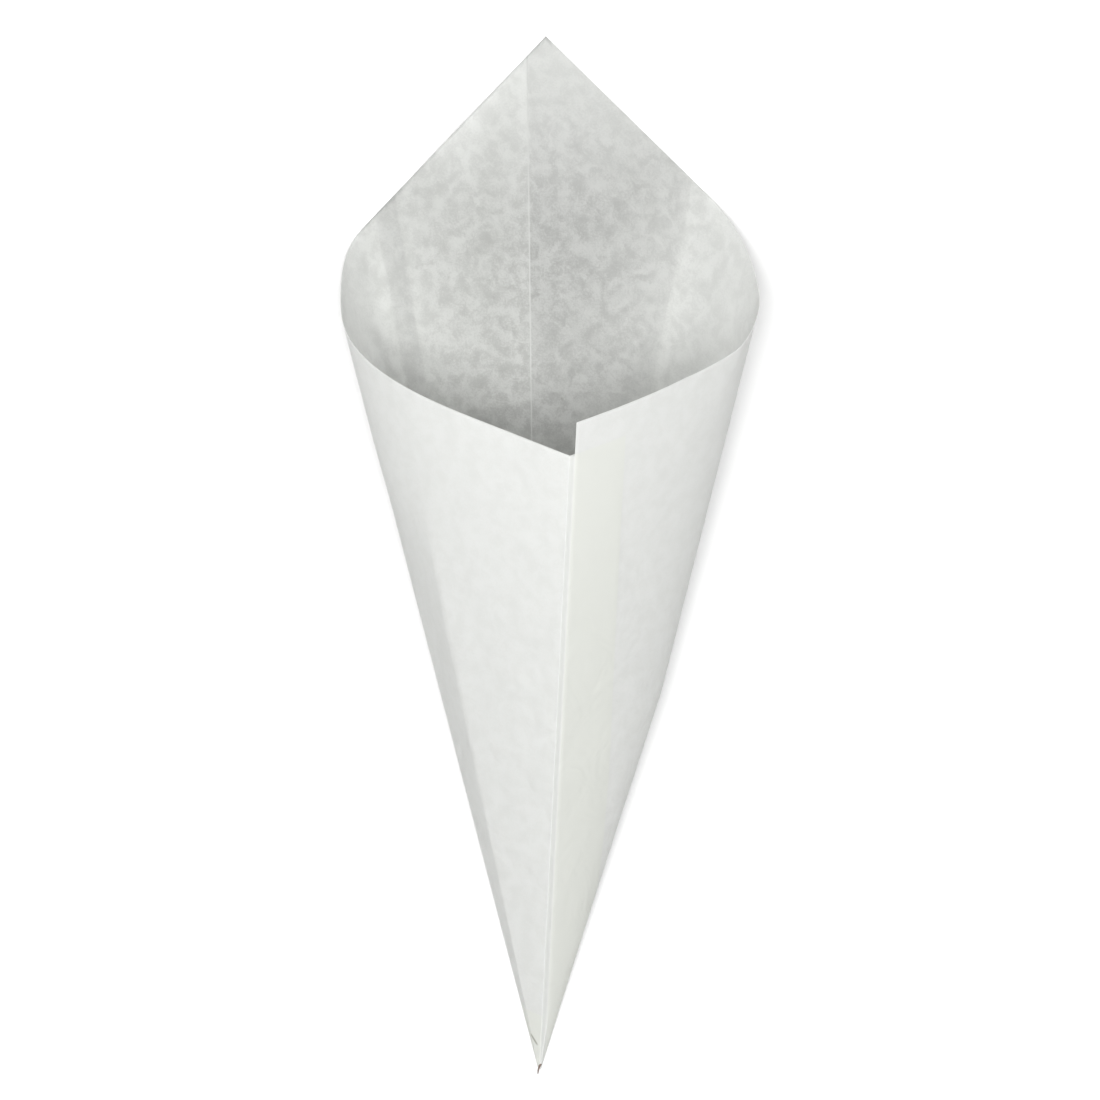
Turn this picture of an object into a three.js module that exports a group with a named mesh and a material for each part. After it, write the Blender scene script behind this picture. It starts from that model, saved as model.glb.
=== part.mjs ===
import * as THREE from 'three';

// A paper cone bag: one nearly square sheet of greaseproof paper, folded on its diagonal to a flat
// triangle, glued down one side and pressed open to a cone. It lies on its flat back. Millimetres, +Z up,
// +Y from the tip to the mouth, +X across, and the glued seam runs along the top. Every panel is bent,
// never stretched: each point of the sheet keeps its distance from the tip and its angle in the flat blank.

// The blank
const innerLength = 170;        // front crease of the inner panel, from the tip to the rim
const outerStep = 8.2;          // how far the outer panel's corner stands above the inner one at the seam
const paperThickness = 0.12;
const flapWidth = 12;           // glue flap, measured from the front crease
const flapTaperDegrees = 30;    // the flap's lower corner is cut back along this angle from the crease
const seamSetback = 1.5;        // bare strip between the front crease and the outer panel's cut edge
const setbackTaperDegrees = 6;

// The rolled section, drawn square to the axis at a station this far from the tip
const station = 100;
const backDepth = 20.65;        // axis to the flat back
const ridgeDepth = 28.49;       // axis to the front crease
const ridgeOffset = 4.14;       // front crease, to the right of the back crease
const leftCornerWidth = 25.31;
const leftCornerDepth = 5.17;
const leftBackWidth = 23.4;
const rightCornerWidth = 30.77;
const rightCornerDepth = 7.01;
const rightBackWidth = 25.43;
const leftFrontFlat = 17.6;     // flat stretch of each front face, from the crease
const rightFrontFlat = 5;
const leftBackFlat = 19.06;     // flat stretch of the back on each side of the back crease
const rightBackFlat = 18.77;

// Handling marks
const buckleHeight = 2.8;       // the right side is pushed out most where a buckle crosses it
const buckleSeamHeight = 80;    // along the seam, where the buckle starts
const buckleSideHeight = 100;   // from the tip, where it reaches the right side
const buckleEase = 1.3;         // how hollow the side is between the tip and the buckle
const leftCreaseWidth = 29.1;   // front crease to the soft crease on the inner panel, at the station
const leftCreaseFade = 115;     // from here towards the mouth the crease softens
const leftCreaseEnd = 160;      // and from here on the panel is round
const curlHeight = 4.5;         // the rim to the left of the peak curls up
const curlWidth = 36;           // length of rim that curls, from the back crease
const curlStart = 160;          // distance from the tip where the curl begins
const tipBlunt = 1;             // length of the twisted paper at the very tip
const tipCurl = 0.7;            // how far that twist bends to the left
const tipCavity = 3;            // the inside closes this far from the tip

// How finely the bends are divided
const bendSteps = 9;
const rowLength = 6.5;
const stripSteps = 3;
const cornerRows = 2;
const rightBackSteps = 3;
const leftFrontSteps = 2;
const firstRowGap = 1.6;        // the first full row is at least this many times as far out as the cavity
const taperRounds = 6;

const radians = THREE.MathUtils.degToRad;
const smooth = THREE.MathUtils.smoothstep;
const lerp = THREE.MathUtils.lerp;

// One half of the section from the front crease to the back crease: flat, round, round, flat
function halfSection(side, corner, back, frontFlat, backFlat) {
  const ridge = new THREE.Vector2(ridgeOffset, -ridgeDepth);
  const shoulder = new THREE.Vector2(side * corner.width, -corner.depth);
  const heel = new THREE.Vector2(side * back, backDepth);
  const toShoulder = shoulder.clone().sub(ridge).normalize();
  const frontEnd = ridge.clone().addScaledVector(toShoulder, frontFlat);
  const middle = shoulder.clone().lerp(heel, 0.5);
  const backEnd = new THREE.Vector2(side * backFlat, backDepth);
  const path = new THREE.CurvePath();
  path.add(new THREE.LineCurve(ridge, frontEnd));
  path.add(new THREE.QuadraticBezierCurve(frontEnd, shoulder, middle));
  path.add(new THREE.QuadraticBezierCurve(middle, heel, backEnd));
  path.add(new THREE.LineCurve(backEnd, new THREE.Vector2(0, backDepth)));
  return path;
}

// Directions from the tip, in the frame where the flat back lies on the floor
const backTilt = Math.atan2(backDepth, station);
function rayThrough(point) {
  const ray = new THREE.Vector3(
    point.x,
    point.y * Math.sin(backTilt) + station * Math.cos(backTilt),
    -point.y * Math.cos(backTilt) + station * Math.sin(backTilt),
  );
  return ray.normalize();
}

// The rolled surface as rays against the blank's angle, from the seam round the back to the crease again
function rolledRays() {
  const fine = 40;
  const right = halfSection(1, { width: rightCornerWidth, depth: rightCornerDepth },
    rightBackWidth, rightFrontFlat, rightBackFlat);
  const left = halfSection(-1, { width: leftCornerWidth, depth: leftCornerDepth },
    leftBackWidth, leftFrontFlat, leftBackFlat);
  const rays = [];
  const marks = [];
  const addPoint = (point) => {
    const ray = rayThrough(point);
    const last = rays[rays.length - 1];
    const angle = last ? last.angle + last.ray.angleTo(ray) : 0;
    rays.push({ ray, angle });
  };
  for (const [half, order] of [[right, 1], [left, -1]]) {
    const curves = order > 0 ? half.curves : [...half.curves].reverse();
    for (const curve of curves) {
      marks.push(rays.length ? rays[rays.length - 1].angle : 0);
      const first = rays.length ? 1 : 0;
      for (let i = first; i <= fine; i += 1) {
        addPoint(curve.getPoint(order > 0 ? i / fine : 1 - i / fine));
      }
    }
  }
  const wrap = rays[rays.length - 1].angle;
  return { rays, wrap, marks: [...marks, wrap] };
}

const rolled = rolledRays();
const wrapAngle = rolled.wrap;
const [, frontEndAngle, rightCornerAngle, rightHeelAngle, backAngle] = rolled.marks;
const [leftHeelAngle, leftCornerAngle, leftFlatAngle] = rolled.marks.slice(5);
const creaseShare = leftCreaseWidth / Math.hypot(ridgeOffset + leftCornerWidth, ridgeDepth - leftCornerDepth);
const creasePoint = new THREE.Vector2(ridgeOffset, -ridgeDepth)
  .lerp(new THREE.Vector2(-leftCornerWidth, -leftCornerDepth), creaseShare);
const leftCreaseAngle = wrapAngle - rayThrough(creasePoint).angleTo(rayAt(wrapAngle));

function rayAt(angle) {
  const { rays } = rolled;
  let low = 0;
  let high = rays.length - 1;
  while (high - low > 1) {
    const mid = (low + high) >> 1;
    if (rays[mid].angle <= angle) low = mid;
    else high = mid;
  }
  const from = rays[low];
  const to = rays[high];
  const share = THREE.MathUtils.clamp((angle - from.angle) / (to.angle - from.angle), 0, 1);
  return from.ray.clone().lerp(to.ray, share).normalize();
}

// Outward normal of the rolled surface beside one ray
function normalAt(angle) {
  const step = 0.004;
  const before = Math.max(angle - step, 0);
  const after = Math.min(angle + step, wrapAngle);
  return new THREE.Vector3().crossVectors(rayAt(after), rayAt(before)).normalize();
}

const seamNormal = normalAt(0);
const creaseNormal = normalAt(wrapAngle);
const creaseMitre = seamNormal.clone().add(creaseNormal)
  .divideScalar(1 + seamNormal.dot(creaseNormal));

// The rim: each panel's edge is straight and square to its front edge, and they meet at the peak
const outerLength = innerLength + outerStep;
const peakAngle = Math.atan2(innerLength / outerLength - Math.cos(wrapAngle), Math.sin(wrapAngle));

function outerShare(angle, stripAngle) {
  return smooth(angle, stripAngle, peakAngle);
}

// Distance from the tip at a share of the way to the inner rim; past 1, the outer panel's free edge
function reach(angle, share) {
  if (angle > peakAngle) return Math.min(share, 1) * innerLength / Math.cos(wrapAngle - angle);
  const level = innerLength + outerStep * outerShare(angle, rimFlapAngle);
  const along = share <= 1 ? share * level : lerp(level, outerLength, share - 1);
  return along / Math.cos(angle);
}

// Lines of the strip run beside the crease and give way to a ray near the tip
const flapTaper = Math.tan(radians(flapTaperDegrees));
const rimFlapAngle = Math.atan2(flapWidth, innerLength);
function stripAngle(distance, taper, share) {
  let angle = Math.atan2(distance, innerLength * share);
  for (let i = 0; i < taperRounds; i += 1) {
    const along = reach(angle, share) * Math.cos(angle);
    angle = Math.atan(Math.min(distance / along, taper));
  }
  return angle;
}

// Columns of the grid: functions that give the blank's angle on a row
const columns = [() => 0];
const setbackColumn = 1;
columns.push((share) => stripAngle(seamSetback, Math.tan(radians(setbackTaperDegrees)), share));
for (let i = 1; i <= stripSteps; i += 1) {
  const part = i / stripSteps;
  const distance = lerp(seamSetback, flapWidth, part);
  const taper = lerp(Math.tan(radians(setbackTaperDegrees)), flapTaper, part);
  columns.push((share) => stripAngle(distance, taper, share));
}
const flapColumn = columns.length - 1;

function bendAngles(from, to, steps) {
  return Array.from({ length: steps }, (_, i) => lerp(from, to, (i + 1) / steps));
}
const rightStart = Math.max(frontEndAngle, rimFlapAngle);
const rightAngles = [
  ...bendAngles(rightStart, rightCornerAngle, bendSteps),
  ...bendAngles(rightCornerAngle, rightHeelAngle, bendSteps),
  ...bendAngles(rightHeelAngle, peakAngle, rightBackSteps),
];
for (const target of rightAngles) {
  const part = (target - rimFlapAngle) / (peakAngle - rimFlapAngle);
  columns.push((share) => lerp(columns[flapColumn](share), peakAngle, part));
}
const peakColumn = columns.length - 1;
const leftAngles = [
  backAngle,
  ...bendAngles(backAngle, leftHeelAngle, bendSteps),
  ...bendAngles(leftHeelAngle, leftCornerAngle, bendSteps),
  ...bendAngles(leftCornerAngle, leftCreaseAngle, bendSteps),
  ...bendAngles(leftCreaseAngle, leftFlatAngle, leftFrontSteps),
  ...bendAngles(leftFlatAngle, wrapAngle, leftFrontSteps),
];
for (const angle of leftAngles) columns.push(() => angle);
const creaseColumn = columns.length - 1;

// Rows of the grid: shares of the way from the tip to the inner rim, then the outer panel's free edge
const rows = [tipBlunt / innerLength, tipCavity / innerLength];
const rowCount = Math.round(innerLength / rowLength);
for (let i = 1; i <= rowCount; i += 1) {
  const share = i / rowCount;
  if (share > rows[1] * firstRowGap) rows.push(share);
}
const rimRow = rows.length - 1;
for (let i = 1; i <= cornerRows; i += 1) rows.push(1 + i / cornerRows);
const topRow = rows.length - 1;
const cavityRow = 1;
const cavityEndShare = 0.7;

// The left panel and the flap have their outer face on the rolled surface. The outer panel lies on
// the flap, so its inner face is on that surface, and the change between them is in the right corner.
function outerFace(angle) {
  return paperThickness * (1 - smooth(angle, rightCornerAngle, rightHeelAngle));
}

// The buckle: the right side is pushed out along a slanting fold that starts at the seam
function buckleLift(angle, distance) {
  const side = smooth(angle, 0, rightCornerAngle) * (1 - smooth(angle, rightCornerAngle, rightHeelAngle));
  const foldLine = lerp(buckleSeamHeight, buckleSideHeight, Math.min(angle / rightCornerAngle, 1));
  const rim = reach(angle, 1);
  const below = Math.pow(distance / foldLine, buckleEase);
  const above = Math.max((rim - distance) / (rim - foldLine), 0);
  return buckleHeight * side * (distance < foldLine ? below : above);
}

// The soft crease: near the tip the inner panel is flat up to it, and flat again from there to its corner
const creaseRay = rayThrough(creasePoint);
const frontFace = new THREE.Vector3().crossVectors(creaseRay, rayAt(wrapAngle)).normalize();
const sideFace = new THREE.Vector3().crossVectors(creaseRay, rayAt(leftCornerAngle)).normalize();
function creaseLift(angle, distance) {
  if (angle < leftCornerAngle || angle > leftFlatAngle) return 0;
  const ray = rayAt(angle);
  const normal = normalAt(angle);
  const liftTo = (face) => -ray.dot(face) / normal.dot(face);
  const softening = 1 - smooth(distance, leftCreaseFade, leftCreaseEnd);
  return Math.min(liftTo(frontFace), liftTo(sideFace)) * distance * softening;
}

// The curl: the free rim beside the peak bends up and inward
const curlAngle = curlWidth / reach(backAngle, 1);
function curlLift(angle, distance) {
  const across = THREE.MathUtils.clamp((angle - backAngle) / curlAngle, 0, 1);
  const along = smooth(distance, curlStart, reach(angle, 1));
  return -curlHeight * Math.sin(Math.PI * across) ** 2 * along;
}

function handlingLift(angle, distance) {
  return buckleLift(angle, distance) + creaseLift(angle, distance) + curlLift(angle, distance);
}

// A point of the sheet: a ray and a distance in the blank, lifted off the rolled surface
function sheetPoint(angle, distance, lift) {
  const normal = normalAt(angle);
  const ownLift = lift + handlingLift(angle, distance);
  return rayAt(angle).multiplyScalar(distance).addScaledVector(normal, ownLift);
}
function seamPoint(distance, lift) {
  return rayAt(0).multiplyScalar(distance).addScaledVector(creaseMitre, lift);
}

// Four faces carry the grid. They share the crease, and the flap's outer face runs on under the outer
// panel as that panel's inner face.
const faceLift = {
  outer: (angle) => outerFace(angle),
  inner: (angle) => outerFace(angle) - paperThickness,
  flapOuter: () => 0,
  flapInner: () => -paperThickness,
};
function sharedPlace(face, column, row) {
  if (column === 0 || column === creaseColumn) {
    return { face: face === 'outer' ? 'flapOuter' : face === 'inner' ? 'flapInner' : face, column: 0, row };
  }
  if (column === setbackColumn && face === 'inner') return { face: 'flapOuter', column, row };
  return { face, column, row: column === peakColumn ? Math.min(row, rimRow) : row };
}

const points = [];
const triangles = [];
const named = new Map();
function vertex(anyFace, anyColumn, anyRow) {
  const { face, column, row } = sharedPlace(anyFace, anyColumn, anyRow);
  const name = `${face} ${column} ${row}`;
  if (!named.has(name)) {
    const angle = columns[column](rows[row]);
    const distance = reach(angle, rows[row]);
    const lift = faceLift[face](angle);
    named.set(name, points.length);
    points.push(column === 0 ? seamPoint(distance, lift) : sheetPoint(angle, distance, lift));
  }
  return named.get(name);
}

function addTriangle(a, b, c) {
  if (a !== b && b !== c && a !== c) triangles.push(a, b, c);
}
function addQuad(a, b, c, d) {
  addTriangle(a, b, c);
  addTriangle(a, c, d);
}

// Middle of one row of the inside
function vertexMiddle(face, row) {
  const sum = new THREE.Vector3();
  for (let column = flapColumn; column < creaseColumn; column += 1) sum.add(points[vertex(face, column, row)]);
  return sum.divideScalar(creaseColumn - flapColumn);
}

// Pieces of the faces between neighbouring columns or rows
function addOuterPatch(face, column, row) {
  addQuad(vertex(face, column, row), vertex(face, column + 1, row),
    vertex(face, column + 1, row + 1), vertex(face, column, row + 1));
}
function addInnerPatch(face, column, row) {
  addQuad(vertex(face, column, row), vertex(face, column, row + 1),
    vertex(face, column + 1, row + 1), vertex(face, column + 1, row));
}
function addRim(upper, lower, column, row) {
  addQuad(vertex(lower, column, row), vertex(upper, column, row),
    vertex(upper, column + 1, row), vertex(lower, column + 1, row));
}
function addSideEdge(left, right, column, row) {
  addQuad(vertex(left, column, row), vertex(right, column, row),
    vertex(right, column, row + 1), vertex(left, column, row + 1));
}

// Outside: the bare strip of flap at the crease, then the outer panel, the back and the inner panel
for (let row = 0; row < rimRow; row += 1) {
  addOuterPatch('flapOuter', 0, row);
  addSideEdge('flapOuter', 'outer', setbackColumn, row);
  for (let column = setbackColumn; column < creaseColumn; column += 1) {
    addOuterPatch('outer', column, row);
  }
}

// Inside: the flap, its edge, then the rest of the sheet
for (let row = cavityRow; row < rimRow; row += 1) {
  for (let column = 0; column < flapColumn; column += 1) addInnerPatch('flapInner', column, row);
  addSideEdge('inner', 'flapInner', flapColumn, row);
  for (let column = flapColumn; column < creaseColumn; column += 1) {
    addInnerPatch('inner', column, row);
  }
}

// The outer panel's corner above the inner panel's rim
for (let row = rimRow; row < topRow; row += 1) {
  addSideEdge('inner', 'outer', setbackColumn, row);
  for (let column = setbackColumn; column < peakColumn; column += 1) {
    addOuterPatch('outer', column, row);
    addInnerPatch('inner', column, row);
  }
}

// The cut edges round the mouth
addRim('flapOuter', 'flapInner', 0, rimRow);
for (let column = setbackColumn; column < flapColumn; column += 1) {
  addRim('inner', 'flapInner', column, rimRow);
}
for (let column = setbackColumn; column < peakColumn; column += 1) addRim('outer', 'inner', column, topRow);
for (let column = peakColumn; column < creaseColumn; column += 1) addRim('outer', 'inner', column, rimRow);

// The tip: the outside runs out in a twist, and the inside closes above it
const twist = points.push(new THREE.Vector3(-tipCurl, -tipBlunt, paperThickness)) - 1;
addTriangle(twist, vertex('flapOuter', 1, 0), vertex('flapOuter', 0, 0));
addTriangle(twist, vertex('outer', setbackColumn, 0), vertex('flapOuter', setbackColumn, 0));
for (let column = setbackColumn; column < creaseColumn; column += 1) {
  addTriangle(twist, vertex('outer', column + 1, 0), vertex('outer', column, 0));
}
const cavityMiddle = vertexMiddle('inner', cavityRow);
const cavityEnd = points.push(cavityMiddle.multiplyScalar(cavityEndShare)) - 1;
for (let column = 0; column < flapColumn; column += 1) {
  addTriangle(cavityEnd, vertex('flapInner', column, cavityRow), vertex('flapInner', column + 1, cavityRow));
}
addTriangle(cavityEnd, vertex('flapInner', flapColumn, cavityRow), vertex('inner', flapColumn, cavityRow));
for (let column = flapColumn; column < creaseColumn; column += 1) {
  addTriangle(cavityEnd, vertex('inner', column, cavityRow), vertex('inner', column + 1, cavityRow));
}

const geometry = new THREE.BufferGeometry().setFromPoints(points);
geometry.setIndex(triangles);
geometry.computeVertexNormals();
geometry.computeBoundingBox();
const middle = geometry.boundingBox.getCenter(new THREE.Vector3());

const paper = new THREE.MeshStandardMaterial({ color: '#e6e6e3', roughness: 0.85, metalness: 0 });
const cone = new THREE.Mesh(geometry, paper);
cone.name = 'paper_cone';
cone.position.set(-middle.x, -middle.y, -geometry.boundingBox.min.z);

const bag = new THREE.Group();
bag.add(cone);

export default bag;
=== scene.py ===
# %% [markdown]
# A paper cone bag: one nearly square sheet of white greaseproof paper, folded on its diagonal to a flat
# triangle, glued down one side and pressed open to a cone. It lies on its flat back on a white table, and
# the camera looks down on it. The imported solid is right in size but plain, so one finer sheet stands for it
# here. It is worked out from the same blank and the same open section, because a bent sheet keeps every
# distance from its tip.

# %% Load the frame
import math

import bpy
import numpy as np
from mathutils import Matrix, Vector


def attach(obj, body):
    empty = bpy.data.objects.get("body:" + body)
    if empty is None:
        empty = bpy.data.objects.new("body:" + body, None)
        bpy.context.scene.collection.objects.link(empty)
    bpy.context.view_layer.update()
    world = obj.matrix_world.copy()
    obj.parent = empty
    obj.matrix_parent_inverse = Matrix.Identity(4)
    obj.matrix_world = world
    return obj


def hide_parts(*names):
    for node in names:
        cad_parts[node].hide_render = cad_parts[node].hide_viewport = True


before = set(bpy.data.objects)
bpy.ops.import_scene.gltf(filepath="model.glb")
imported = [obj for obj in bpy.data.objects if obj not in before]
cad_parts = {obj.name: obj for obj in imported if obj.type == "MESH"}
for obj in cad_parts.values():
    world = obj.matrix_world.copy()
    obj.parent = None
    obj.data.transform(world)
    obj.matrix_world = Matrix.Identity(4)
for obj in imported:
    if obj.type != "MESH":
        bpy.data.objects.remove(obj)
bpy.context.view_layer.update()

MM = 0.001

# %% [markdown]
# The blank is 170 by 178 mm and folded on its diagonal, so each panel is a triangle with its longest edge
# at the back crease. The inner panel carries the glue flap, and the outer one stands 8 mm above it. The
# flap is 16.5 mm wide, as the glued strip in the photo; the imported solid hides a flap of 12 mm inside.
# All sizes are in millimetres, as on the real bag, and the section is drawn 100 mm from the tip.

# %% Sizes of the blank and of the rolled section
INNER_LENGTH = 170.0
OUTER_STEP = 8.2
OUTER_LENGTH = INNER_LENGTH + OUTER_STEP
PAPER = 0.12
FLAP_WIDTH = 16.5
FLAP_TAPER = math.tan(math.radians(30))
SETBACK = 1.5
SETBACK_TAPER = math.tan(math.radians(6))

CREASE_WIDTH = 29.1
STATION = 100.0
BACK_DEPTH = 20.65
RIDGE = (4.14, -28.49)
LEFT = {"side": -1, "shoulder": (-25.31, -5.17), "heel": (-23.4, BACK_DEPTH), "front_flat": 17.6, "back_flat": 19.06}
RIGHT = {"side": 1, "shoulder": (30.77, -7.01), "heel": (25.43, BACK_DEPTH), "front_flat": 5.0, "back_flat": 18.77}
TIP = (-4.04, -123.23)

# %% [markdown]
# The section has a flat back, two rounded corners and two faces that meet in the sharp front crease.
# Each corner is a curve that is tangent to the flats beside it. A point of the section gives one ray from
# the tip, and the angle between neighbouring rays adds up to the angle in the flat blank.

# %% The rolled surface
FINE = 60


def bezier(start, control, end, t):
    t = t[:, None]
    return (1 - t) ** 2 * start + 2 * t * (1 - t) * control + t * t * end


def half_section(half):
    ridge, shoulder, heel = (np.array(half_point, float) for half_point in (RIDGE, half["shoulder"], half["heel"]))
    front_end = ridge + (shoulder - ridge) / np.linalg.norm(shoulder - ridge) * half["front_flat"]
    middle = (shoulder + heel) / 2
    back_end = np.array((half["side"] * half["back_flat"], BACK_DEPTH))
    t = np.linspace(0, 1, FINE + 1)
    pieces = [
        ridge + (front_end - ridge) * t[:, None],
        bezier(front_end, shoulder, middle, t),
        bezier(middle, heel, back_end, t),
        back_end + (np.array((0, BACK_DEPTH)) - back_end) * t[:, None],
    ]
    return np.concatenate([pieces[0]] + [piece[1:] for piece in pieces[1:]])


def rays_through(points):
    tilt = math.atan2(BACK_DEPTH, STATION)
    y = points[:, 1] * math.sin(tilt) + STATION * math.cos(tilt)
    z = -points[:, 1] * math.cos(tilt) + STATION * math.sin(tilt)
    rays = np.column_stack([points[:, 0], y, z])
    return rays / np.linalg.norm(rays, axis=1)[:, None]


RAYS = rays_through(np.concatenate([half_section(RIGHT), half_section(LEFT)[::-1][1:]]))
STEPS = np.arccos(np.clip((RAYS[1:] * RAYS[:-1]).sum(axis=1), -1, 1))
ANGLES = np.concatenate([[0], np.cumsum(STEPS)])
WRAP = ANGLES[-1]
FRONT_END, CORNER, HEEL, BACK = ANGLES[[FINE, 2 * FINE, 3 * FINE, 4 * FINE]]
LEFT_HEEL, LEFT_CORNER, LEFT_FLAT = ANGLES[[5 * FINE, 6 * FINE, 7 * FINE]]
PEAK = math.atan2(INNER_LENGTH / OUTER_LENGTH - math.cos(WRAP), math.sin(WRAP))
RIM_FLAP = math.atan2(FLAP_WIDTH, INNER_LENGTH)
print("panels:", round(math.degrees(BACK), 2), round(math.degrees(WRAP - BACK), 2), "degrees")


def ray_at(angle):
    rays = np.stack([np.interp(angle, ANGLES, RAYS[:, axis]) for axis in range(3)], axis=-1)
    return rays / np.linalg.norm(rays, axis=-1, keepdims=True)


def normal_at(angle):
    step = 0.004
    after = ray_at(np.minimum(angle + step, WRAP))
    before = ray_at(np.maximum(angle - step, 0))
    normal = np.cross(after, before)
    return normal / np.linalg.norm(normal, axis=-1, keepdims=True)


# %% [markdown]
# The rim is two straight cuts, each square to its panel's front edge, so on the cone they become curves.
# A row of the grid follows the rim at a share of the way from the tip, and the rows above 1 are the outer
# panel's corner that stands above the inner one.

# %% Rows and columns of the sheet


def smooth(value, low, high):
    t = np.clip((value - low) / (high - low), 0, 1)
    return t * t * (3 - 2 * t)


def reach(angle, share):
    right_level = INNER_LENGTH + OUTER_STEP * smooth(angle, RIM_FLAP, PEAK)
    over = np.maximum(share - 1, 0)
    along = np.minimum(share, 1) * right_level
    along = along + (OUTER_LENGTH - right_level) * over
    right = along / np.cos(np.minimum(angle, 1.2))
    left = np.minimum(share, 1) * INNER_LENGTH / np.cos(WRAP - np.maximum(angle, WRAP - 1.2))
    return np.where(angle > PEAK, left, right)


def strip_angle(distance, taper, share):
    angle = np.arctan2(distance, INNER_LENGTH * share)
    for _ in range(6):
        along = reach(angle, share) * np.cos(angle)
        angle = np.arctan(np.minimum(distance / along, taper))
    return angle


FRONT_FACE = np.array(LEFT["shoulder"]) - np.array(RIDGE)
CREASE_POINT = np.array(RIDGE) + FRONT_FACE / np.linalg.norm(FRONT_FACE) * CREASE_WIDTH
LEFT_CREASE = WRAP - math.acos(float(rays_through(CREASE_POINT[None])[0] @ RAYS[-1]))

STRIP_COLUMNS = 14
RIGHT_COLUMNS = 74
LEFT_COLUMNS = 84
AFTER_CREASE = 24
ROWS = 170
CORNER_ROWS = 10
TIP_SHARE = 1.0 / INNER_LENGTH
CAVITY_SHARE = 3.0 / INNER_LENGTH
SHARES = np.concatenate([
    [TIP_SHARE, CAVITY_SHARE],
    np.linspace(CAVITY_SHARE, 1, ROWS)[1:],
    1 + np.linspace(0, 1, CORNER_ROWS + 1)[1:],
])
RIM_ROW = ROWS
TOP_ROW = RIM_ROW + CORNER_ROWS


def grid_angles():
    share = SHARES[None, :]
    rows = [np.zeros_like(share)]
    for part in np.linspace(0, 1, STRIP_COLUMNS + 1):
        distance = SETBACK + (FLAP_WIDTH - SETBACK) * part
        taper = SETBACK_TAPER + (FLAP_TAPER - SETBACK_TAPER) * part
        rows.append(strip_angle(distance, taper, share))
    flap = rows[-1]
    for part in np.linspace(0, 1, RIGHT_COLUMNS + 1)[1:]:
        rows.append(flap + (PEAK - flap) * part)
    before_crease = PEAK + (LEFT_CREASE - PEAK) * np.linspace(0, 1, LEFT_COLUMNS - AFTER_CREASE + 1)[1:]
    after_crease = LEFT_CREASE + (WRAP - LEFT_CREASE) * np.linspace(0, 1, AFTER_CREASE + 1)[1:]
    for angle in (*before_crease, *after_crease):
        rows.append(np.full_like(share, angle))
    return np.concatenate(rows)


GRID = grid_angles()
REACH = reach(GRID, SHARES[None, :])
SETBACK_COLUMN = 1
FLAP_COLUMN = 1 + STRIP_COLUMNS
PEAK_COLUMN = FLAP_COLUMN + RIGHT_COLUMNS
CREASE_COLUMN = PEAK_COLUMN + LEFT_COLUMNS
print("grid:", GRID.shape, "columns and rows")

# %% [markdown]
# Handling left marks in the paper. A slanted buckle crosses the right side and pushes it out, a crease
# runs up the left side, a short one dents the rim at the right, and the rim of the back curls up a little.
# They are small lifts along the surface's normal, so both faces of the sheet move together.

# %% Handling marks
BUCKLE_HEIGHT = 2.8
BUCKLE_SEAM = 80.0
BUCKLE_SIDE = 100.0
BUCKLE_EASE = 1.3
CREASE_FADE = 115.0
CREASE_END = 160.0
CURL_HEIGHT = 4.5
CURL_WIDTH = 36.0
CURL_START = 160.0
RIM_CREASE_HEIGHT = 1.3
RIM_CREASE_ANGLE = 0.30
RIM_CREASE_LEFT = 0.11
RIM_CREASE_RIGHT = 0.07
RIM_CREASE_LENGTH = 26.0


def buckle(angle, distance):
    side = smooth(angle, 0, CORNER) * (1 - smooth(angle, CORNER, HEEL))
    fold = BUCKLE_SEAM + (BUCKLE_SIDE - BUCKLE_SEAM) * np.minimum(angle / CORNER, 1)
    rim = reach(angle, 1)
    below = (distance / fold) ** BUCKLE_EASE
    above = np.maximum((rim - distance) / (rim - fold), 0)
    return BUCKLE_HEIGHT * side * np.where(distance < fold, below, above)


FRONT_PLANE = np.cross(rays_through(CREASE_POINT[None])[0], RAYS[-1])
SIDE_PLANE = np.cross(rays_through(CREASE_POINT[None])[0], ray_at(LEFT_CORNER))


def left_crease(angle, distance):
    rays, normals = ray_at(angle), normal_at(angle)
    to_planes = [-(rays @ plane) / (normals @ plane) for plane in (FRONT_PLANE, SIDE_PLANE)]
    lift = np.where((angle > LEFT_CORNER) & (angle < LEFT_FLAT), np.minimum(*to_planes), 0)
    return lift * distance * (1 - smooth(distance, CREASE_FADE, CREASE_END))


def rim_curl(angle, distance):
    across = np.clip((angle - BACK) * reach(BACK, 1.0) / CURL_WIDTH, 0, 1)
    return -CURL_HEIGHT * np.sin(np.pi * across) ** 2 * smooth(distance, CURL_START, reach(angle, 1))


def rim_crease(angle, distance):
    from_left = (angle - RIM_CREASE_ANGLE + RIM_CREASE_LEFT) / RIM_CREASE_LEFT
    from_right = (RIM_CREASE_ANGLE + RIM_CREASE_RIGHT - angle) / RIM_CREASE_RIGHT
    tent = np.clip(np.minimum(from_left, from_right), 0, 1)
    rim = reach(angle, 2.0)
    return RIM_CREASE_HEIGHT * tent * smooth(distance, rim - RIM_CREASE_LENGTH, rim)


def blank_place(angle, distance):
    return distance * np.sin(angle), distance * np.cos(angle)


def lifts(angle, distance):
    bends = buckle(angle, distance) + left_crease(angle, distance)
    return bends + rim_curl(angle, distance) + rim_crease(angle, distance)


# %% [markdown]
# The sheet's two faces are 0.12 mm apart. The left panel and the flap have their outer face on the rolled
# surface, and the outer panel lies on the flap, so the change between them is spread over the right
# corner. Over the flap the outer panel is lifted by the ply below, which draws the flap's edge as a faint
# line.

# %% Points of the two faces
CREASE_NORMALS = normal_at(np.array([0.0, WRAP]))
MITRE = CREASE_NORMALS.sum(axis=0) / (1 + CREASE_NORMALS[0] @ CREASE_NORMALS[1])


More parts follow.
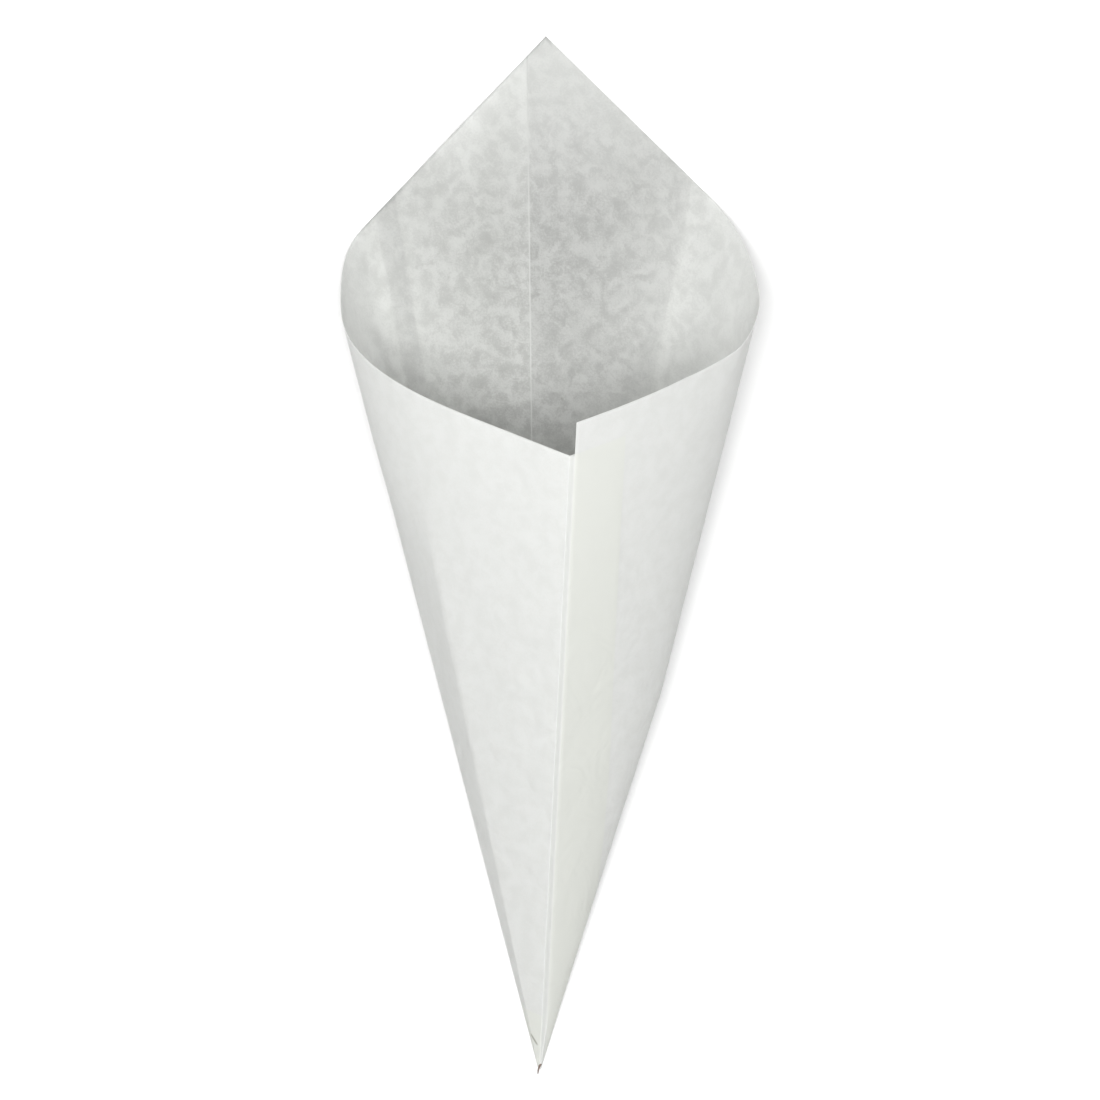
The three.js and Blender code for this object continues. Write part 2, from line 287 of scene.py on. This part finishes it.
def face_points(lift):
    normals = normal_at(GRID)
    shift = lift + lifts(GRID, REACH)
    points = ray_at(GRID) * REACH[..., None] + normals * shift[..., None]
    crease = ray_at(GRID[0]) * REACH[0][:, None] + MITRE * lift[0][:, None]
    points[0] = crease
    points[CREASE_COLUMN] = crease
    return points


OUTER_FACE = PAPER * (1 - smooth(GRID, CORNER, HEEL))
OUTER_FACE[0] = 0
OUTER_FACE[CREASE_COLUMN] = 0
FACES = {
    "outer": face_points(OUTER_FACE),
    "inner": face_points(OUTER_FACE - PAPER),
    "flap_outer": face_points(np.zeros_like(GRID)),
    "flap_inner": face_points(np.full_like(GRID, -PAPER)),
}
print("peak at", FACES["outer"][PEAK_COLUMN, RIM_ROW].round(1), "mm from the tip")

# %% [markdown]
# The mesh is built by hand from the grid: each face of the sheet is a run of quads, and thin edge strips
# close it at the rim, along the outer panel's cut edge and along the flap's edge. Three materials follow
# the real sheet: its glazed outside, its rougher inside, and the cut edges, which catch the light.
# The flat blank is kept as a UV layer in millimetres, so that the paper's clouds lie in the sheet.

# %% Mesh of the sheet
OUTSIDE, INSIDE, EDGE = 0, 1, 2
names = {}
vertices = []
blank = []
quads = []


def vertex(face, column, row):
    if column == SETBACK_COLUMN and face == "inner":
        face = "flap_outer"
    if column == PEAK_COLUMN:
        row = min(row, RIM_ROW)
    key = (face, column, row)
    if key not in names:
        names[key] = len(vertices)
        vertices.append(FACES[face][column, row])
        blank.append(blank_place(GRID[column, row], REACH[column, row]))
    return names[key]


def add_face(corners, material):
    corners = [corner for i, corner in enumerate(corners) if corner != corners[i - 1]]
    if len(corners) > 2:
        quads.append((corners, material))


def outer_patch(face, column, row, material=OUTSIDE):
    add_face([vertex(face, column, row), vertex(face, column + 1, row),
              vertex(face, column + 1, row + 1), vertex(face, column, row + 1)], material)


def inner_patch(face, column, row, material=INSIDE):
    add_face([vertex(face, column, row), vertex(face, column, row + 1),
              vertex(face, column + 1, row + 1), vertex(face, column + 1, row)], material)


def rim_patch(upper, lower, column, row):
    add_face([vertex(lower, column, row), vertex(upper, column, row),
              vertex(upper, column + 1, row), vertex(lower, column + 1, row)], EDGE)


def side_patch(left, right, column, row):
    add_face([vertex(left, column, row), vertex(right, column, row),
              vertex(right, column, row + 1), vertex(left, column, row + 1)], EDGE)


for row in range(RIM_ROW):
    outer_patch("flap_outer", 0, row)
    side_patch("flap_outer", "outer", SETBACK_COLUMN, row)
    for column in range(SETBACK_COLUMN, CREASE_COLUMN):
        outer_patch("outer", column, row)
for row in range(1, RIM_ROW):
    for column in range(FLAP_COLUMN):
        inner_patch("flap_inner", column, row)
    side_patch("inner", "flap_inner", FLAP_COLUMN, row)
    for column in range(FLAP_COLUMN, CREASE_COLUMN):
        inner_patch("inner", column, row)
for row in range(RIM_ROW, TOP_ROW):
    side_patch("inner", "outer", SETBACK_COLUMN, row)
    for column in range(SETBACK_COLUMN, PEAK_COLUMN):
        outer_patch("outer", column, row)
        inner_patch("inner", column, row)
rim_patch("flap_outer", "flap_inner", 0, RIM_ROW)
for column in range(SETBACK_COLUMN, FLAP_COLUMN):
    rim_patch("inner", "flap_inner", column, RIM_ROW)
for column in range(SETBACK_COLUMN, PEAK_COLUMN):
    rim_patch("outer", "inner", column, TOP_ROW)
for column in range(PEAK_COLUMN, CREASE_COLUMN):
    rim_patch("outer", "inner", column, RIM_ROW)

# %% [markdown]
# The tip of the real bag is twisted to a dark wisp about 2 mm long, where the rolled corner frayed. It is a
# small tapered tube that grows out of the blunt end of the sheet.

# %% Frayed tip
TWIST = 3
TWIST_PATH = np.array([(0.3, 2.3, 0.9), (0.0, 1.5, 0.75), (-0.25, 0.7, 0.5), (-0.35, -0.15, 0.35)])
TWIST_RADII = (0.32, 0.26, 0.18, 0.1)
TWIST_SIDES = 8
TURNS = np.linspace(0, 2 * math.pi, TWIST_SIDES, endpoint=False)
first = len(vertices)
for centre, radius in zip(TWIST_PATH, TWIST_RADII):
    for turn in TURNS:
        vertices.append(centre + radius * np.array((math.cos(turn), 0, math.sin(turn))))
        blank.append((0.0, float(np.linalg.norm(centre))))
rings = [list(range(first + i * TWIST_SIDES, first + (i + 1) * TWIST_SIDES)) for i in range(len(TWIST_PATH))]
for upper, lower in zip(rings, rings[1:]):
    for side in range(TWIST_SIDES):
        after = (side + 1) % TWIST_SIDES
        quads.append(([upper[side], upper[after], lower[after], lower[side]], TWIST))
quads.append((rings[0][::-1], TWIST))
quads.append((rings[-1], TWIST))
print("wisp:", len(rings) * TWIST_SIDES, "vertices")

# %% Object of the sheet
mesh = bpy.data.meshes.new("paper_sheet")
points = (np.array(vertices) + np.array((TIP[0], TIP[1], 0))) * MM
mesh.from_pydata(points.tolist(), [], [corners for corners, _ in quads])
mesh.polygons.foreach_set("material_index", [material for _, material in quads])
layer = mesh.uv_layers.new(name="blank")
for loop in mesh.loops:
    layer.data[loop.index].uv = blank[loop.vertex_index]
mesh.polygons.foreach_set("use_smooth", [True] * len(mesh.polygons))
sheet = bpy.data.objects.new("paper_sheet", mesh)
bpy.context.collection.objects.link(sheet)
print("sheet:", len(mesh.vertices), "vertices,", len(mesh.polygons), "faces")

# %% [markdown]
# White greaseproof paper is bleached pulp, beaten until it is nearly transparent, so it reads as a soft
# matt white with cloudy patches where the fibres bunched. The outside was dried against a polished roll
# and is smoother and a little brighter, and the clouds show on the inside. Most of the inside's grey is
# painted shade for the hollow of the cone, not the paper's own colour.

# %% Materials


def linear(hex_colour):
    channels = [int(hex_colour[i:i + 2], 16) / 255 for i in (1, 3, 5)]
    curve = [c / 12.92 if c <= 0.04045 else ((c + 0.055) / 1.055) ** 2.4 for c in channels]
    return (*curve, 1.0)


def add_node(tree, kind, links=None, **settings):
    node = tree.nodes.new(kind)
    for name, value in settings.items():
        setattr(node, name, value)
    for socket, source in (links or {}).items():
        if isinstance(source, bpy.types.NodeSocket):
            tree.links.new(source, node.inputs[socket])
        else:
            node.inputs[socket].default_value = source
    return node


def math_node(tree, operation, *values):
    node = add_node(tree, "ShaderNodeMath", operation=operation)
    for index, value in enumerate(values):
        if isinstance(value, bpy.types.NodeSocket):
            tree.links.new(value, node.inputs[index])
        else:
            node.inputs[index].default_value = value
    return node.outputs["Value"]


def ramp(tree, value, low, high, out_low=0.0, out_high=1.0):
    node = add_node(tree, "ShaderNodeMapRange", {
        "Value": value, "From Min": low, "From Max": high, "To Min": out_low, "To Max": out_high,
    }, interpolation_type="SMOOTHSTEP")
    return node.outputs["Result"]


def noise(tree, place, scale, detail, roughness, distortion=0.0):
    node = add_node(tree, "ShaderNodeTexNoise", {
        "Vector": place, "Scale": scale, "Detail": detail, "Roughness": roughness, "Distortion": distortion,
    })
    return node.outputs["Fac"]


def mix_colour(tree, factor, first, second):
    node = add_node(tree, "ShaderNodeMix", data_type="RGBA")
    for index, value in ((0, factor), (6, first), (7, second)):
        if isinstance(value, bpy.types.NodeSocket):
            tree.links.new(value, node.inputs[index])
        else:
            node.inputs[index].default_value = value
    return node.outputs[2]


# %% [markdown]
# The clouds are worked out in the flat blank, so a patch is 3 to 6 mm wide on the sheet, with fibre grain
# of about 0.5 mm inside it. Two plies are glued over the flap, which gives that strip a faint warm tint.
# The bare strip between the front crease and the cut edge is painted a shade darker, as painted shade
# where it turns away past the crease. Shallow dents cover the lower half and a crease runs along the
# buckle. The back crease is painted inside as a fine pale line, a painted highlight along the fold, and a
# dark line near the tip is painted shade where the torn edge curls.
# The inside is also tinted paler toward the sides and the peak. That tint is painted shading, not a known
# property of the paper: lamp and translucency alone left those places darker than in the photo.

# %% Paper


CLOUD_SCALE = 0.3
GRAIN_SCALE = 2.1
BACK_LINE = INNER_LENGTH / math.cos(WRAP - BACK)
BACK_END = (BACK_LINE * math.sin(BACK), BACK_LINE * math.cos(BACK))
BUCKLE_CREASE = ((1.0, 98.4), (22.9, 108.3))
DENT_SCALE = 0.1
DENT_HEIGHT = 0.8
CREASE_HEIGHT = 0.14
TEAR_CURL_SHADE = ((10.0, 2.9), (7.8, 0.9))
SPECK = ((108.7, 119.1), (109.2, 119.4))


def paper_clouds(tree, place):
    clouds = noise(tree, place, CLOUD_SCALE, 4.0, 0.66, 0.4)
    grain = noise(tree, place, GRAIN_SCALE, 2.0, 0.7)
    return ramp(tree, math_node(tree, "MULTIPLY_ADD", grain, 0.6, clouds), 0.62, 0.98)


def strip_mask(tree, place, low, high, top):
    parts = add_node(tree, "ShaderNodeSeparateXYZ", {"Vector": place}).outputs
    inside = math_node(tree, "MULTIPLY", ramp(tree, parts["X"], low - 0.15, low + 0.15),
                       ramp(tree, parts["X"], high + 0.15, high - 0.15))
    return math_node(tree, "MULTIPLY", inside, ramp(tree, parts["Y"], top + 0.3, top - 0.3))


def line_mask(tree, place, ends, width):
    (x, y), (end_x, end_y) = ends
    length = math.hypot(end_x - x, end_y - y)
    dx, dy = (end_x - x) / length, (end_y - y) / length
    parts = add_node(tree, "ShaderNodeSeparateXYZ", {"Vector": place}).outputs

    def measure(part_x, part_y, start):
        return math_node(tree, "MULTIPLY_ADD", parts["X"], part_x,
                         math_node(tree, "MULTIPLY_ADD", parts["Y"], part_y, start))

    along = measure(dx, dy, -(x * dx + y * dy))
    across = math_node(tree, "ABSOLUTE", measure(-dy, dx, x * dy - y * dx))
    ends_mask = math_node(tree, "MULTIPLY", ramp(tree, along, -width, width),
                          ramp(tree, along, length + width, length - width))
    return math_node(tree, "MULTIPLY", ends_mask, ramp(tree, across, width, 0.0))


def surface_height(tree, place, fibre_height):
    fibre = noise(tree, place, 2.4, 2.0, 0.7)
    height = math_node(tree, "MULTIPLY", fibre, fibre_height)
    from_tip = add_node(tree, "ShaderNodeVectorMath", {"Vector": place}, operation="LENGTH").outputs["Value"]
    handled = ramp(tree, from_tip, 150.0, 90.0, 0.25, 1.0)
    dents = math_node(tree, "MULTIPLY", noise(tree, place, DENT_SCALE, 2.0, 0.6, 0.8), DENT_HEIGHT)
    height = math_node(tree, "MULTIPLY_ADD", dents, handled, height)
    return math_node(tree, "MULTIPLY_ADD", line_mask(tree, place, BUCKLE_CREASE, 2.2), CREASE_HEIGHT, height)


def paper_shader(tree, colour, roughness, translucent, fibre_height):
    place = add_node(tree, "ShaderNodeUVMap", uv_map="blank").outputs["UV"]
    bump = add_node(tree, "ShaderNodeBump", {
        "Height": surface_height(tree, place, fibre_height), "Strength": 1.0, "Distance": MM,
    }).outputs["Normal"]
    solid = add_node(tree, "ShaderNodeBsdfPrincipled", {
        "Base Color": colour, "Roughness": roughness, "IOR": 1.5, "Normal": bump,
    }).outputs["BSDF"]
    through = add_node(tree, "ShaderNodeBsdfTranslucent", {"Color": linear("#FAFAF9")}).outputs["BSDF"]
    both = add_node(tree, "ShaderNodeMixShader", {"Fac": translucent})
    tree.links.new(solid, both.inputs[1])
    tree.links.new(through, both.inputs[2])
    add_node(tree, "ShaderNodeOutputMaterial", {"Surface": both.outputs["Shader"]})


def paper_material(name):
    material = bpy.data.materials.new(name)
    material.use_nodes = True
    tree = material.node_tree
    tree.nodes.clear()
    place = add_node(tree, "ShaderNodeUVMap", uv_map="blank").outputs["UV"]
    return material, tree, place


def outside_paper():
    material, tree, place = paper_material("glazed_greaseproof_paper")
    clouds = paper_clouds(tree, place)
    colour = mix_colour(tree, clouds, linear("#F8F9F8"), linear("#F0F1EF"))
    glued = strip_mask(tree, place, SETBACK, FLAP_WIDTH, INNER_LENGTH)
    colour = mix_colour(tree, glued, colour, linear("#F5F7F0"))
    # The bare strip past the front crease is painted darker: painted shade where it turns away from the light.
    bare_strip_painted_shade = strip_mask(tree, place, 0.3, SETBACK - 0.2, INNER_LENGTH)
    colour = mix_colour(tree, bare_strip_painted_shade, colour, linear("#ECEEEB"))
    # A dark line is painted along the torn edge near the tip: painted shade where the edge curls.
    colour = mix_colour(tree, line_mask(tree, place, TEAR_CURL_SHADE, 0.45), colour, linear("#5A5734"))
    paper_shader(tree, colour, 0.55, 0.55, 0.006)
    return material


def inside_paper():
    material, tree, place = paper_material("greaseproof_inside_painted_shade")
    clouds = paper_clouds(tree, place)
    # The inside's base greys are mostly painted shade for the hollow of the cone; the clouds in them are the paper's
    # own.
    colour = mix_colour(tree, clouds, linear("#BBBDBA"), linear("#939592"))
    parts = add_node(tree, "ShaderNodeSeparateXYZ", {"Vector": place}).outputs
    angle = math_node(tree, "ARCTAN2", parts["X"], parts["Y"])
    from_crease = math_node(tree, "ABSOLUTE", math_node(tree, "SUBTRACT", angle, BACK))
    from_tip = add_node(tree, "ShaderNodeVectorMath", {"Vector": place}, operation="LENGTH").outputs["Value"]
    # Paler toward the sides and the peak: painted light, not a property of the paper.
    painted_light_sides_and_peak = math_node(tree, "MAXIMUM", ramp(tree, from_crease, 0.03, 0.32), ramp(tree, from_tip, 195.0, 250.0))
    pale = mix_colour(tree, clouds, linear("#E6E8E5"), linear("#D7D9D6"))
    colour = mix_colour(tree, painted_light_sides_and_peak, colour, pale)
    # The back crease is painted as a fine pale line inside: a painted highlight along the fold.
    colour = mix_colour(tree, line_mask(tree, place, ((0, 0), BACK_END), 0.28), colour, linear("#C8CAC7"))
    colour = mix_colour(tree, line_mask(tree, place, SPECK, 0.4), colour, linear("#77786F"))
    paper_shader(tree, colour, 0.85, 0.55, 0.012)
    return material


def edge_paper():
    material, tree, place = paper_material("cut_paper_edge")
    paper_shader(tree, linear("#F6F6F4"), 0.8, 0.2, 0.004)
    return material


def frayed_paper():
    material, tree, place = paper_material("frayed_paper_fibre")
    paper_shader(tree, linear("#7C6A62"), 0.9, 0.1, 0.02)
    return material


for material in (outside_paper(), inside_paper(), edge_paper(), frayed_paper()):
    mesh.materials.append(material)
    print("material:", material.name)

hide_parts("paper_cone")
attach(sheet, "root")

# %% [markdown]
# The bag lies on a white table that runs out of view, under a large soft light that stands a little to the
# left, so the front faces are bright, the mouth is in soft shade and the shadow is faint.

# %% Table and light
FLOOR_SIZE = 6.0
floor_mesh = bpy.data.meshes.new("table_top")
edge = FLOOR_SIZE / 2
floor_mesh.from_pydata([(-edge, -edge, 0), (edge, -edge, 0), (edge, edge, 0), (-edge, edge, 0)], [], [(0, 1, 2, 3)])
floor = bpy.data.objects.new("table_top", floor_mesh)
bpy.context.collection.objects.link(floor)
floor_paint = bpy.data.materials.new("matt_white_table")
floor_paint.use_nodes = True
floor_shader = floor_paint.node_tree.nodes["Principled BSDF"]
floor_shader.inputs["Base Color"].default_value = linear("#E4E4E4")
floor_shader.inputs["Roughness"].default_value = 0.9
floor_mesh.materials.append(floor_paint)

world = bpy.data.worlds.new("soft_room")
world.use_nodes = True
world.node_tree.nodes["Background"].inputs["Color"].default_value = (1, 1, 1, 1)
world.node_tree.nodes["Background"].inputs["Strength"].default_value = 0.38
bpy.context.scene.world = world

lamp_data = bpy.data.lights.new("soft_box", "AREA")
lamp_data.shape = "DISK"
lamp_data.size = 0.8
lamp_data.energy = 40.0
lamp = bpy.data.objects.new("soft_box", lamp_data)
bpy.context.collection.objects.link(lamp)
lamp.location = (-0.12, 0.0, 1.9)
lamp.rotation_euler = (Vector((0, 0, 0.03)) - lamp.location).to_track_quat("-Z", "Y").to_euler()

# %% [markdown]
# The photo was taken from above with a long lens. The distance of 1.5 m is a guess; the lens, the lean of
# 15 degrees from the mouth's side and the small roll were worked out from the corners of the rim.

# %% Camera
CAMERA_PLACE = (-0.03898, 0.08129, 1.52134)
CAMERA_AIM = (-0.0005, 0.00312, 0.020)
CAMERA_UP = (0.01338, 0.99824, -0.0577)
LENS = 209.2

camera_data = bpy.data.cameras.new("camera")
camera_data.sensor_width = 36.0
camera_data.lens = LENS
camera = bpy.data.objects.new("camera", camera_data)
bpy.context.collection.objects.link(camera)
back_axis = (Vector(CAMERA_PLACE) - Vector(CAMERA_AIM)).normalized()
right_axis = Vector(CAMERA_UP).cross(back_axis).normalized()
up_axis = back_axis.cross(right_axis)
camera.matrix_world = Matrix.Translation(CAMERA_PLACE) @ Matrix((right_axis, up_axis, back_axis)).transposed().to_4x4()
bpy.context.scene.camera = camera
bpy.context.scene.view_settings.view_transform = "Standard"
